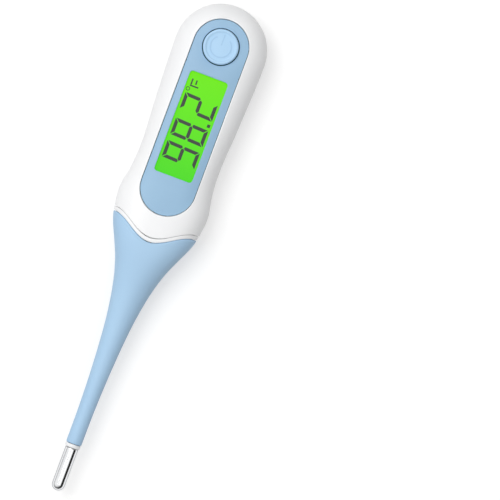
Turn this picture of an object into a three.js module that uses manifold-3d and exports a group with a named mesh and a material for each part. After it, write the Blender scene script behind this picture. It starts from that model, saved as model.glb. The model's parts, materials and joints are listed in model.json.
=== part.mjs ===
// A flexible-stem digital thermometer, in millimetres, lying on its back.
// +X runs from the probe tip to the button end, +Y to the tops of the digits, +Z out of the display.
// A station s is a distance from the probe tip along the axis.

import * as THREE from 'three';
import { mergeVertices } from 'three/addons/utils/BufferGeometryUtils.js';
import { ParametricGeometry } from 'three/addons/geometries/ParametricGeometry.js';
import Module from 'manifold-3d';

const wasm = await Module();
wasm.setup();

// ---------- driving dimensions ----------

const LENGTH = 142.1; // probe tip to button end
const CROWN_RADIUS = 12.85; // plan radius of the button end
const FRONT_RISE = 8.1; // axis to the front crown
const REAR_DEPTH = 7.9; // axis to the back, before the flat is cut
const AXIS_HEIGHT = 7.5; // axis above the flat back
const WALL = 1.8; // housing wall
const AROUND = 24; // facets round the housing
const STEM_AROUND = 14; // facets round the stem
const SEAM_GAP = 0.2; // between mating mouldings
const FIT = 0.3; // between a piece and the pocket that holds it
const SNUG = 0.15; // between small bonded pieces
const PAST = 1; // how far a cutting solid runs past what it cuts
const FAR = 20; // beyond the part on every side

const WAIST = 11.5; // half-width at the waist
const CROWN_STATION = LENGTH - CROWN_RADIUS;
const TOP_HEIGHT = AXIS_HEIGHT + FRONT_RISE;

// Half-widths along the outline, from the probe end to the crown.
const OUTLINE = [
  [13.6, 2.2], // end of the stem
  [24, 2.27],
  [34, 2.63],
  [44, 3.28],
  [52, 4.13],
  [60, 5.58], // stem starts to flare
  [66, 7.35],
  [71, 9.5],
  [75.5, 11.5], // shoulder
  [79.3, 12.45],
  [85, 12.93], // bulge under the display
  [90.5, 11.95],
  [98, WAIST],
  [111, 12.2],
  [CROWN_STATION, CROWN_RADIUS],
];
const STEM_END = OUTLINE[0][0];

// Section shape: round along the stem, squarer along the body.
const ROUND_UNTIL = 55;
const SQUARE_FROM = 80;
const FRONT_SQUARENESS = 2.8;
const REAR_SQUARENESS = 4;
const HEIGHT_BLEND = 6; // how sharply the stem's height levels off along the body
const CROWN_RINGS = 5;

// Neck seam: a wave, lower in the middle than at the sides.
const SEAM_SIDE = 79.3;
const SEAM_MIDDLE = 74.4;
const BAND_WIDTH = 1.15; // visible band of the neck insert
const SPIGOT_START = 65;
const TONGUE_END = 82.9;
const INSERT_WALL = 1.5;
const INSERT_BORE = 2;

// Display panel, window and button.
const PANEL_START = 80.9;
const PANEL_END = 137.5;
const PANEL_RADIUS = 7.76;
const PANEL_RECESS = 0.4;
const PANEL_THICKNESS = 1.2;
const PANEL_LEDGE = 1; // thickness of the ledge under the panel
const LEDGE_CURVE = 1.7; // how far the ledge curves down at its sides
const WINDOW_START = 92;
const WINDOW_LENGTH = 29.1;
const WINDOW_WIDTH = 11;
const WINDOW_CORNER = 0.9;
const LENS_RECESS = 0.25;
const BUTTON_RADIUS = 4.9;
const BUTTON_TRAVEL = 0.4;
const BUTTON_TOP = TOP_HEIGHT + 0.1;
const BUTTON_CAP = 1.35;
const BUTTON_RIM = 0.85; // width of the raised rim
const BUTTON_STEP = 0.25; // rim above the disc
const BUTTON_BEVEL = 0.3;
const POST_RADIUS = 1.8;
const MEMBRANE_THICKNESS = 0.2;

// Flexible stem: short links with ball ends.
const FLEX_START = 20;
const LINK_PITCH = 3;
const LINK_COUNT = 9;
const LINK_GAP = 0.25;
const WIRE_BORE = 1.05;
const WIRE_RADIUS = 0.28;
const WIRE_SPREAD = 0.42;

// Probe.
const COLLAR_LENGTH = 1.1;
const COLLAR_RADIUS = 2.12;
const COLLAR_BEVEL = 0.3;
const COLLAR_SPIGOT = 2.2; // how far the collar reaches into the cap and the stem
const CAP_RADIUS = 1.83;
const CAP_WALL = 0.2;
const POTTING_END = 6;
const BEAD_RADIUS = 0.65;
const BEAD_STATION = 2.4;

// Electronics.
const BOARD_THICKNESS = 1;
const BOARD_TOP = 7.6;
const BOARD_START = 83.6;
const BOARD_END = LENGTH - WALL - 6.3; // the crown narrows beyond it
const BOARD_HALF_WIDTH = WAIST - WALL - FIT;
const BOARD_CORNER = 7;
const LCD_THICKNESS = 1.9;
const LCD_MARGIN = 0.8;
const LCD_DROP = 1; // below the panel
const GUIDE_HALF_WIDTH = 4.2;
const GUIDE_MARGIN = 2.6;
const FILM_THICKNESS = 0.2;
const FRAME_WALL = 0.8;
const FRAME_LIP = 0.5;
const ZEBRA_WIDTH = 1;
const ZEBRA_OFFSET = 1.5; // from the light guide
const LED_SIDE = 1.2;
const LED_LENGTH = 2.4;
const LED_OFFSET = 2.3;
const SWITCH_SIDE = 6;
const SWITCH_HEIGHT = 2.6;
const PLUNGER_RADIUS = 1.6;
const PLUNGER_FOOT = 1; // foot of the plunger above the foot of the switch
const PLUNGER_RISE = 1.3; // above the switch
const BUZZER_STATION = 95;
const BUZZER_RADIUS = 6.6;
const BUZZER_CERAMIC_RADIUS = 4.6;
const BUZZER_THICKNESS = 0.3;
const BUZZER_LEAD_RADIUS = 0.25;

// Coin cell, 16 x 3.2 mm, and its cover.
const CELL_RADIUS = 8;
const CELL_THICKNESS = 3.2;
const CELL_STATION = 121;
const CELL_LIFT = 0.4; // above the cover
const CELL_BEVEL = 0.4;
const CELL_CAP_STEP = 0.5; // the narrower end cap
const CELL_CAP_INSET = 0.9;
const COVER_THICKNESS = 1.5;
const COVER_RADIUS = 9.5;
const COVER_LIP = 0.9; // room for the cover's seal
const BAY_WALL = 1;
const BAY_WALL_LAP = 0.6; // the bay wall's lap over the seal
const TAB_HALF_WIDTH = 3.6;
const TAB_FLOOR = 1.2;
const TAB_FLOOR_HALF_WIDTH = 5;
const SPRING_THICKNESS = 0.25;
const SPRING_WIDTH = 3;
const BLADE_THICKNESS = 0.3;
const BLADE_HALF_WIDTH = 2;
const BLADE_FOOT = 3;

// Screws.
const COVER_SCREW_STATION = 107.4;
const COVER_SCREW = { headRadius: 1.9, headDepth: 0.75, shankRadius: 0.8 };
const COVER_SCREW_SINK = 0.3;
const COVER_SCREW_TIP = 4.8;
const COVER_BOSS_RADIUS = 2.2;
const BOARD_SCREW_STATION = 86.4;
const BOARD_SCREW_SIDE = 6.2;
const BOARD_SCREW = { headRadius: 1.8, headDepth: 1, shankRadius: 0.9 };
const BOARD_SCREW_TIP = 3.4;
const BOARD_POST_RADIUS = 2.3;
const BORE_GAP = 0.2; // round a screw's shank
const CROSS_WIDTH = 0.4;
const CROSS_DEPTH = 0.5;
const CROSS_REACH = 0.6; // share of the head's radius

// ---------- materials ----------

function plastic(colour, roughness) {
  return new THREE.MeshStandardMaterial({ color: colour, roughness, metalness: 0 });
}

function metal(colour, roughness) {
  return new THREE.MeshStandardMaterial({ color: colour, roughness, metalness: 1 });
}

const white = plastic('#f1f2f4', 0.35);
const panelBlue = plastic('#9fc5e8', 0.5);
const buttonBlue = plastic('#b9d9f4', 0.55);
const stemBlue = plastic('#a9cdea', 0.6);
const clear = plastic('#dff2e4', 0.05);
const lcdGreen = plastic('#58e818', 0.15);
const milky = plastic('#e9f6ea', 0.3);
const rubber = plastic('#3a3d40', 0.85);
const silicone = plastic('#d6dde2', 0.7);
const boardGreen = plastic('#1f6b45', 0.5);
const black = plastic('#1b1c1e', 0.5);
const ceramic = plastic('#ddd6c4', 0.6);
const epoxy = plastic('#2a2622', 0.35);
const steel = metal('#c9ccd0', 0.18);
const springSteel = metal('#b4b7ba', 0.35);
const brass = metal('#c9a24b', 0.35);

// ---------- outline and sections ----------

// Cubic through the outline's points, level at both ends.
function outlineAt(s) {
  const last = OUTLINE.length - 1;
  if (s <= OUTLINE[0][0]) return OUTLINE[0][1];
  if (s >= OUTLINE[last][0]) return OUTLINE[last][1];
  const slope = (k) => {
    if (k === 0 || k === last) return 0;
    const [before, after] = [OUTLINE[k - 1], OUTLINE[k + 1]];
    return (after[1] - before[1]) / (after[0] - before[0]);
  };
  const i = OUTLINE.findIndex((point) => point[0] > s) - 1;
  const [s0, w0] = OUTLINE[i];
  const [s1, w1] = OUTLINE[i + 1];
  const span = s1 - s0;
  const t = (s - s0) / span;
  const bend = t * t * (3 - 2 * t);
  const rise = slope(i) * span * t * (1 - t) * (1 - t);
  const fall = slope(i + 1) * span * t * t * (t - 1);
  return w0 + (w1 - w0) * bend + rise + fall;
}

// Half-width at a station, for the outer skin moved in by an inset.
function halfWidth(s, inset) {
  if (s <= CROWN_STATION) return outlineAt(s) - inset;
  const radius = CROWN_RADIUS - inset;
  const along = Math.min(s - CROWN_STATION, radius);
  return Math.sqrt(radius * radius - along * along);
}

// Height above, or depth below, the axis: the half-width along the stem, level along the body.
function halfHeight(s, inset, full) {
  const stem = outlineAt(s);
  const blended = Math.pow(Math.pow(stem, -HEIGHT_BLEND) + Math.pow(full, -HEIGHT_BLEND), -1 / HEIGHT_BLEND);
  if (s <= CROWN_STATION) return blended - inset;
  const along = Math.min((s - CROWN_STATION) / (CROWN_RADIUS - inset), 1);
  return (blended - inset) * Math.pow(1 - Math.pow(along, FRONT_SQUARENESS), 1 / FRONT_SQUARENESS);
}

function squareness(s, full) {
  return 2 + (full - 2) * THREE.MathUtils.smoothstep(s, ROUND_UNTIL, SQUARE_FROM);
}

// Point of the section at a station, in the direction of an angle from +Y towards +Z.
function sectionPoint(s, angle, inset, target) {
  const front = Math.sin(angle) >= 0;
  const power = squareness(s, front ? FRONT_SQUARENESS : REAR_SQUARENESS);
  const smallest = 1e-4;
  const width = Math.max(halfWidth(s, inset), smallest);
  const height = Math.max(halfHeight(s, inset, front ? FRONT_RISE : REAR_DEPTH), smallest);
  const across = Math.abs(Math.cos(angle)) / width;
  const up = Math.abs(Math.sin(angle)) / height;
  const radius = Math.pow(Math.pow(across, power) + Math.pow(up, power), -1 / power);
  target.set(x(s), radius * Math.cos(angle), AXIS_HEIGHT + radius * Math.sin(angle));
}

function x(s) {
  return s - LENGTH / 2;
}

// ---------- solids ----------

function toManifold(geometry) {
  let plain = geometry.clone();
  plain.deleteAttribute('normal');
  plain.deleteAttribute('uv');
  plain = mergeVertices(plain, 1e-5);
  const index = plain.index.array;
  const kept = [];
  for (let i = 0; i < index.length; i += 3) {
    const [a, b, c] = [index[i], index[i + 1], index[i + 2]];
    if (a !== b && b !== c && c !== a) kept.push(a, b, c);
  }
  const vertProperties = new Float32Array(plain.attributes.position.array);
  return new wasm.Manifold(new wasm.Mesh({ numProp: 3, vertProperties, triVerts: new Uint32Array(kept) }));
}

function toGeometry(solid) {
  const mesh = solid.getMesh();
  const geometry = new THREE.BufferGeometry();
  geometry.setAttribute('position', new THREE.BufferAttribute(new Float32Array(mesh.vertProperties), 3));
  geometry.setIndex(new THREE.BufferAttribute(new Uint32Array(mesh.triVerts), 1));
  geometry.computeVertexNormals();
  return geometry;
}

// Solid skin between two stations, moved in by an inset.
function body(from, to, inset, steps, around = AROUND) {
  const end = Math.min(to, LENGTH - inset);
  const rounded = end > CROWN_STATION;
  const straight = Math.min(end, CROWN_STATION);
  const stations = [];
  for (let i = 0; i <= steps; i += 1) {
    stations.push([from + ((straight - from) * i) / steps, 1]);
  }
  const radius = CROWN_RADIUS - inset;
  const reach = rounded ? Math.asin(Math.min((end - CROWN_STATION) / radius, 1)) : 0;
  for (let i = 1; rounded && i <= CROWN_RINGS; i += 1) {
    stations.push([CROWN_STATION + radius * Math.sin((reach * i) / CROWN_RINGS), 1]);
  }
  const rings = [[stations[0][0], 0], ...stations, [stations[stations.length - 1][0], 0]];
  const surface = (u, v, target) => {
    const [s, scale] = rings[Math.round(v * (rings.length - 1))];
    const step = Math.round(u * around) % around;
    sectionPoint(s, (2 * Math.PI * step) / around, inset, target);
    target.y *= scale;
    target.z = AXIS_HEIGHT + (target.z - AXIS_HEIGHT) * scale;
  };
  const solid = toManifold(new ParametricGeometry(surface, around, rings.length - 1));
  return solid.volume() < 0 ? toManifold(flipped(surface, around, rings.length - 1)) : solid;
}

function flipped(surface, around, rings) {
  return new ParametricGeometry((u, v, target) => surface(1 - u, v, target), around, rings);
}

function box(s0, s1, y0, y1, z0, z1) {
  const geometry = new THREE.BoxGeometry(s1 - s0, y1 - y0, z1 - z0);
  geometry.translate((x(s0) + x(s1)) / 2, (y0 + y1) / 2, (z0 + z1) / 2);
  return toManifold(geometry);
}

// Level slab between two heights, over the whole part or a stretch of it.
function slab(z0, z1, s0 = -PAST, s1 = LENGTH + PAST) {
  return box(s0, s1, -FAR, FAR, z0, z1);
}

// Upright cylinder.
function peg(s, y, radius, z0, z1, sides = 32) {
  const geometry = new THREE.CylinderGeometry(radius, radius, z1 - z0, sides);
  geometry.rotateX(Math.PI / 2);
  geometry.translate(x(s), y, (z0 + z1) / 2);
  return toManifold(geometry);
}

// Cylinder along the stem's axis.
function rod(s0, s1, radius, sides = 12) {
  const geometry = new THREE.CylinderGeometry(radius, radius, s1 - s0, sides);
  geometry.rotateZ(Math.PI / 2);
  geometry.translate((x(s0) + x(s1)) / 2, 0, AXIS_HEIGHT);
  return toManifold(geometry);
}

function ball(s, radius, sides = STEM_AROUND) {
  const geometry = new THREE.SphereGeometry(radius, sides, sides / 2);
  geometry.rotateZ(Math.PI / 2);
  geometry.translate(x(s), 0, AXIS_HEIGHT);
  return toManifold(geometry);
}

// A flat outline raised between two heights; the outline is drawn in stations and y.
function prism(shape, z0, z1, curveSegments = 12) {
  const geometry = new THREE.ExtrudeGeometry(shape, { depth: z1 - z0, bevelEnabled: false, curveSegments });
  geometry.translate(-LENGTH / 2, 0, z0);
  return toManifold(geometry);
}

// Solid of revolution about an upright axis; the profile is radius, height.
function turned(s, y, profile, sides = 32) {
  const points = profile.map(([radius, z]) => new THREE.Vector2(radius, z));
  const geometry = new THREE.LatheGeometry(points, sides);
  geometry.rotateX(Math.PI / 2);
  geometry.translate(x(s), y, 0);
  return toManifold(geometry);
}

// Solid of revolution about the stem's axis; the profile is radius, station.
function turnedAlong(profile, sides = 20) {
  const points = profile.map(([radius, s]) => new THREE.Vector2(radius, s));
  const geometry = new THREE.LatheGeometry(points, sides);
  geometry.rotateZ(-Math.PI / 2);
  geometry.translate(-LENGTH / 2, 0, AXIS_HEIGHT);
  return toManifold(geometry);
}

function stadium(s0, s1, radius) {
  const shape = new THREE.Shape();
  shape.moveTo(s0 + radius, -radius);
  shape.lineTo(s1 - radius, -radius);
  shape.absarc(s1 - radius, 0, radius, -Math.PI / 2, Math.PI / 2);
  shape.absarc(s0 + radius, 0, radius, Math.PI / 2, (3 * Math.PI) / 2);
  return shape;
}

function roundedRectangle(s0, s1, half, corner) {
  const shape = new THREE.Shape();
  shape.moveTo(s0 + corner, -half);
  shape.absarc(s1 - corner, -half + corner, corner, -Math.PI / 2, 0);
  shape.absarc(s1 - corner, half - corner, corner, 0, Math.PI / 2);
  shape.absarc(s0 + corner, half - corner, corner, Math.PI / 2, Math.PI);
  shape.absarc(s0 + corner, -half + corner, corner, Math.PI, (3 * Math.PI) / 2);
  return shape;
}

// Wire along a smooth path of [station, y, z] points.
function wire(path, radius, steps) {
  const curve = new THREE.CatmullRomCurve3(path.map(([s, y, z]) => new THREE.Vector3(x(s), y, z)));
  const section = new THREE.Shape();
  section.absarc(0, 0, radius, 0, 2 * Math.PI);
  const options = { steps, extrudePath: curve, curveSegments: 3, bevelEnabled: false };
  return toManifold(new THREE.ExtrudeGeometry(section, options));
}

// Everything on the tip side of the neck seam, moved along by a shift.
function tipSide(shift) {
  const reach = CROWN_RADIUS + PAST;
  const points = 14;
  const shape = new THREE.Shape();
  shape.moveTo(0, -reach);
  for (let i = 0; i <= points; i += 1) {
    const y = -reach + (2 * reach * i) / points;
    const wave = 0.5 + 0.5 * Math.cos(Math.PI * Math.min(Math.abs(y) / outlineAt(SEAM_SIDE), 1));
    shape.lineTo(SEAM_SIDE + (SEAM_MIDDLE - SEAM_SIDE) * wave + shift, y);
  }
  shape.lineTo(0, reach);
  return prism(shape, -PAST, TOP_HEIGHT + PAST);
}

// ---------- assembly ----------

const group = new THREE.Group();
group.name = 'digital_thermometer';

function place(name, solid, material) {
  const mesh = new THREE.Mesh(toGeometry(solid), material);
  mesh.name = name;
  group.add(mesh);
}

const outer = body(STEM_END, LENGTH, 0, 28).intersect(slab(0, TOP_HEIGHT + PAST));
const seamTop = AXIS_HEIGHT + SEAM_GAP / 2;
const seamBottom = AXIS_HEIGHT - SEAM_GAP / 2;
const panelFloorInset = PANEL_RECESS + PANEL_THICKNESS + FIT;
const ledgeInset = panelFloorInset + PANEL_LEDGE;
const ledgeStart = PANEL_START - PANEL_LEDGE;
const panelBottom = TOP_HEIGHT - PANEL_RECESS - PANEL_THICKNESS;
const cutStart = AXIS_HEIGHT + 2; // upright cuts for the panel start here
const buttonStation = PANEL_END - PANEL_RADIUS;
const windowEnd = WINDOW_START + WINDOW_LENGTH;

// Skin from the neck to the crown, moved in by an inset.
function bodySkin(inset) {
  return body(SEAM_MIDDLE - 6, LENGTH, inset, 11);
}

// LCD cell: two glass plates as one block, lit green.
const lcdStart = WINDOW_START - LCD_MARGIN;
const lcdEnd = windowEnd + LCD_MARGIN;
const lcdHalf = WINDOW_WIDTH / 2 + LCD_MARGIN;
const lcdTop = panelBottom - LCD_DROP;
const lcdBottom = lcdTop - LCD_THICKNESS;

// Housing cavity, cut level above the flat back.
const cavity = bodySkin(WALL).intersect(slab(WALL, TOP_HEIGHT));

// Silicone seal in the housing seam.
const SEAL_INSET = 0.6;
const SEAL_WIDTH = 0.6;
const SEAL_HALF_HEIGHT = 0.5;

function seamRing(inset, width, reach) {
  const ring = bodySkin(inset).subtract(bodySkin(inset + width));
  const band = slab(AXIS_HEIGHT - reach, AXIS_HEIGHT + reach);
  return ring.intersect(band).subtract(tipSide(SEAL_INSET));
}

const sealGroove = seamRing(SEAL_INSET - SNUG, SEAL_WIDTH + 2 * SNUG, SEAL_HALF_HEIGHT + SNUG);
place('housing_seal', seamRing(SEAL_INSET, SEAL_WIDTH, SEAL_HALF_HEIGHT), silicone);

// Front housing: the panel sits in a pocket on a ledge with holes for the LCD and the button post.
function frontHousing() {
  const shell = outer.subtract(cavity);
  const ledgeOutline = stadium(ledgeStart, PANEL_END + PANEL_LEDGE, PANEL_RADIUS + PANEL_LEDGE);
  const ledgeArea = prism(ledgeOutline, cutStart, TOP_HEIGHT);
  const ledge = bodySkin(WALL / 2).subtract(bodySkin(ledgeInset)).intersect(ledgeArea);
  const pocket = prism(stadium(PANEL_START, PANEL_END, PANEL_RADIUS), cutStart, TOP_HEIGHT + PAST);
  const lcdReach = lcdHalf + FIT;
  const lcdHole = box(lcdStart - FIT, lcdEnd + FIT, -lcdReach, lcdReach, AXIS_HEIGHT, TOP_HEIGHT);
  return shell
    .add(ledge)
    .subtract(pocket.subtract(bodySkin(panelFloorInset)))
    .subtract(lcdHole)
    .subtract(peg(buttonStation, 0, POST_RADIUS + FIT, AXIS_HEIGHT, TOP_HEIGHT))
    .subtract(tipSide(0))
    .subtract(sealGroove)
    .intersect(slab(seamTop, TOP_HEIGHT + PAST));
}
place('front_housing', frontHousing(), white);

// Display panel, with openings for the window and the button.
const panelOutline = stadium(PANEL_START + SNUG, PANEL_END - SNUG, PANEL_RADIUS - SNUG);
const windowOutline = roundedRectangle(WINDOW_START, windowEnd, WINDOW_WIDTH / 2, WINDOW_CORNER);

function displayPanel() {
  return bodySkin(PANEL_RECESS)
    .subtract(bodySkin(PANEL_RECESS + PANEL_THICKNESS))
    .intersect(prism(panelOutline, cutStart, TOP_HEIGHT))
    .subtract(prism(windowOutline, AXIS_HEIGHT, TOP_HEIGHT))
    .subtract(peg(buttonStation, 0, BUTTON_RADIUS + FIT, AXIS_HEIGHT, TOP_HEIGHT));
}
place('display_panel', displayPanel(), panelBlue);

// Clear window, a little below the panel.
const lensOutline = roundedRectangle(
  WINDOW_START + SNUG,
  windowEnd - SNUG,
  WINDOW_WIDTH / 2 - SNUG,
  WINDOW_CORNER - SNUG,
);

function displayWindow() {
  return bodySkin(PANEL_RECESS + LENS_RECESS)
    .subtract(bodySkin(PANEL_RECESS + PANEL_THICKNESS))
    .intersect(prism(lensOutline, cutStart, TOP_HEIGHT));
}
place('display_window', displayWindow(), clear);

place('lcd_cell', box(lcdStart, lcdEnd, -lcdHalf, lcdHalf, lcdBottom, lcdTop), lcdGreen);

// LCD frame: a white carrier that holds the LCD over the light guide.
const partsBottom = BOARD_TOP + FIT; // foot of everything on top of the board
const frameHalf = lcdHalf + FIT;
const frameMargin = FIT + FRAME_WALL;
const frameTop = lcdBottom - FIT;
const guideStart = lcdStart + GUIDE_MARGIN;
const guideEnd = lcdEnd - GUIDE_MARGIN;
const zebraY = GUIDE_HALF_WIDTH + ZEBRA_OFFSET;

// Block along the light guide, centred on y.
function alongGuide(y, halfWidthOfBlock, growth, z0, z1) {
  const reach = halfWidthOfBlock + growth;
  return box(guideStart - growth, guideEnd + growth, y - reach, y + reach, z0, z1);
}

function lcdFrame() {
  const openingHalf = GUIDE_HALF_WIDTH + FIT;
  const opening = box(lcdStart + FRAME_LIP, lcdEnd - FRAME_LIP, -openingHalf, openingHalf, 0, lcdTop);
  const zebraSlot = alongGuide(zebraY, ZEBRA_WIDTH / 2, SNUG, 0, lcdTop);
  return box(lcdStart - frameMargin, lcdEnd + frameMargin, -frameHalf, frameHalf, partsBottom, frameTop)
    .subtract(opening)
    .subtract(zebraSlot);
}
place('lcd_frame', lcdFrame(), white);

const zebra = alongGuide(zebraY, ZEBRA_WIDTH / 2, 0, BOARD_TOP + SNUG, lcdBottom - SNUG);
place('zebra_strip', zebra, rubber);

const filmTop = partsBottom + FILM_THICKNESS;
place('reflector_film', alongGuide(0, GUIDE_HALF_WIDTH, 0, partsBottom, filmTop), white);
place('light_guide', alongGuide(0, GUIDE_HALF_WIDTH, 0, filmTop + FIT, frameTop), milky);

// Backlight LEDs at the neck end of the light guide.
for (const [suffix, side] of [['a', 1], ['b', -1]]) {
  const y = side * LED_OFFSET;
  const end = guideStart - FIT;
  const reach = LED_LENGTH / 2;
  const led = box(end - LED_SIDE, end, y - reach, y + reach, partsBottom, partsBottom + LED_SIDE);
  place(`backlight_led_${suffix}`, led, milky);
}

// ---------- button and switch ----------

const buttonBottom = BUTTON_TOP - BUTTON_CAP;
const switchTop = partsBottom + SWITCH_HEIGHT;
const plungerTop = switchTop + PLUNGER_RISE;
const plungerBottom = partsBottom + PLUNGER_FOOT;

// A disc with a raised rim on a post that reaches down to the switch.
function powerButton() {
  const discRadius = BUTTON_RADIUS - BUTTON_RIM - BUTTON_STEP;
  const discTop = BUTTON_TOP - BUTTON_STEP;
  return turned(buttonStation, 0, [
    [0, plungerTop + FIT],
    [POST_RADIUS, plungerTop + FIT],
    [POST_RADIUS, buttonBottom],
    [BUTTON_RADIUS, buttonBottom],
    [BUTTON_RADIUS, BUTTON_TOP - BUTTON_BEVEL],
    [BUTTON_RADIUS - BUTTON_BEVEL, BUTTON_TOP],
    [discRadius + BUTTON_STEP, BUTTON_TOP],
    [discRadius, discTop],
    [0, discTop],
  ]);
}
place('power_button', powerButton(), buttonBlue);

function buttonMembrane() {
  const top = buttonBottom - BUTTON_TRAVEL - 0.05;
  const disc = peg(buttonStation, 0, BUTTON_RADIUS - 0.1, top - MEMBRANE_THICKNESS, top);
  return disc.subtract(peg(buttonStation, 0, POST_RADIUS + FIT, 0, TOP_HEIGHT));
}
place('button_membrane', buttonMembrane(), silicone);

function switchBody() {
  const half = SWITCH_SIDE / 2;
  const block = box(buttonStation - half, buttonStation + half, -half, half, partsBottom, switchTop);
  return block.subtract(
    peg(buttonStation, 0, PLUNGER_RADIUS + SNUG, plungerBottom - BUTTON_TRAVEL, TOP_HEIGHT),
  );
}
place('switch_body', switchBody(), black);
place('switch_plunger', peg(buttonStation, 0, PLUNGER_RADIUS, plungerBottom, plungerTop, 24), ceramic);

// ---------- coin cell, cover and contacts ----------

const boardBottom = BOARD_TOP - BOARD_THICKNESS;
const underBoard = boardBottom - FIT; // top of everything under the board
const cellBottom = COVER_THICKNESS + CELL_LIFT;
const cellTop = cellBottom + CELL_THICKNESS;
const bayRadius = CELL_RADIUS + FIT;
const sealTop = COVER_THICKNESS + COVER_LIP;

function coinCell() {
  const capRadius = CELL_RADIUS - CELL_CAP_INSET;
  return turned(CELL_STATION, 0, [
    [0, cellBottom],
    [CELL_RADIUS - CELL_BEVEL, cellBottom],
    [CELL_RADIUS, cellBottom + CELL_BEVEL],
    [CELL_RADIUS, cellTop - CELL_CAP_STEP],
    [capRadius, cellTop - CELL_CAP_STEP],
    [capRadius, cellTop],
    [0, cellTop],
  ]);
}
place('coin_cell', coinCell(), steel);

// Plan of the cover and, grown by a clearance, of its opening: a disc with a screw tab.
function coverPlan(growth, z0, z1) {
  const tabEdge = TAB_HALF_WIDTH + growth;
  const tabTop = Math.min(z1, COVER_THICKNESS + growth);
  const tab = prism(stadium(COVER_SCREW_STATION - tabEdge, CELL_STATION, tabEdge), z0, tabTop);
  return peg(CELL_STATION, 0, COVER_RADIUS + growth, z0, z1, 48).add(tab);
}

function batteryCover() {
  const { headRadius, headDepth, shankRadius } = COVER_SCREW;
  const seatTop = COVER_SCREW_SINK + headDepth + SNUG;
  const hole = peg(COVER_SCREW_STATION, 0, shankRadius + FIT, -PAST, COVER_THICKNESS + PAST);
  const seat = peg(COVER_SCREW_STATION, 0, headRadius + FIT, -PAST, seatTop);
  return outer
    .intersect(coverPlan(0, -PAST, COVER_THICKNESS))
    .subtract(hole)
    .subtract(seat);
}
place('battery_cover', batteryCover(), white);

function coverSeal() {
  const gap = 0.2;
  return peg(CELL_STATION, 0, COVER_RADIUS - gap, COVER_THICKNESS + gap, sealTop - gap, 40).subtract(
    peg(CELL_STATION, 0, bayRadius + FIT, 0, sealTop, 40),
  );
}
place('battery_cover_seal', coverSeal(), silicone);

// Screw with a cross recess, from the outer face of its head to its tip.
function screw(s, y, outside, tip, { headRadius, headDepth, shankRadius }) {
  const inward = Math.sign(tip - outside);
  const upright = (radius, from, to, sides) => {
    return peg(s, y, radius, Math.min(from, to), Math.max(from, to), sides);
  };
  const arm = headRadius * CROSS_REACH;
  const half = CROSS_WIDTH / 2;
  const [z0, z1] = [outside - CROSS_DEPTH, outside + CROSS_DEPTH];
  return upright(headRadius, outside, outside + inward * headDepth, 24)
    .add(upright(shankRadius, outside + (inward * headDepth) / 2, tip, 16))
    .subtract(box(s - arm, s + arm, y - half, y + half, z0, z1))
    .subtract(box(s - half, s + half, y - arm, y + arm, z0, z1));
}
const coverScrew = screw(COVER_SCREW_STATION, 0, COVER_SCREW_SINK, COVER_SCREW_TIP, COVER_SCREW);
place('battery_cover_screw', coverScrew, steel);

// Spring strip bent from a flat blank, drawn in stations and heights, centred on the axis.
function strip(path, thickness, width) {
  const upper = path.map(([s, z]) => new THREE.Vector2(s, z + thickness / 2));
  const lower = path.map(([s, z]) => new THREE.Vector2(s, z - thickness / 2)).reverse();
  const shape = new THREE.Shape([...lower, ...upper]);
  const geometry = new THREE.ExtrudeGeometry(shape, { depth: width, bevelEnabled: false });
  geometry.rotateX(Math.PI / 2);
  geometry.translate(-LENGTH / 2, width / 2, 0);
  return toManifold(geometry);
}

// The negative contact springs down onto the cell's end cap.
const contactLevel = underBoard - SPRING_THICKNESS / 2;
const contactTouch = cellTop + SPRING_THICKNESS / 2 + SNUG;
const negativePath = [
  [CELL_STATION - 5, contactLevel],
  [CELL_STATION, contactLevel],
  [CELL_STATION + 4, contactTouch],
  [CELL_STATION + 6, contactTouch + 0.2],
];
place('negative_contact', strip(negativePath, SPRING_THICKNESS, SPRING_WIDTH), springSteel);

// The positive contact is an angled blade beside the cell.
const bladeEnd = CELL_STATION - CELL_RADIUS - FIT;

function positiveContact() {
  const half = BLADE_HALF_WIDTH;
  const blade = box(bladeEnd - BLADE_THICKNESS, bladeEnd, -half, half, cellBottom + 0.6, underBoard);
  const foot = box(bladeEnd - BLADE_FOOT, bladeEnd, -half, half, underBoard - BLADE_THICKNESS, underBoard);
  return blade.add(foot);
}
place('positive_contact', positiveContact(), springSteel);

// ---------- rear housing ----------

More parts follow.
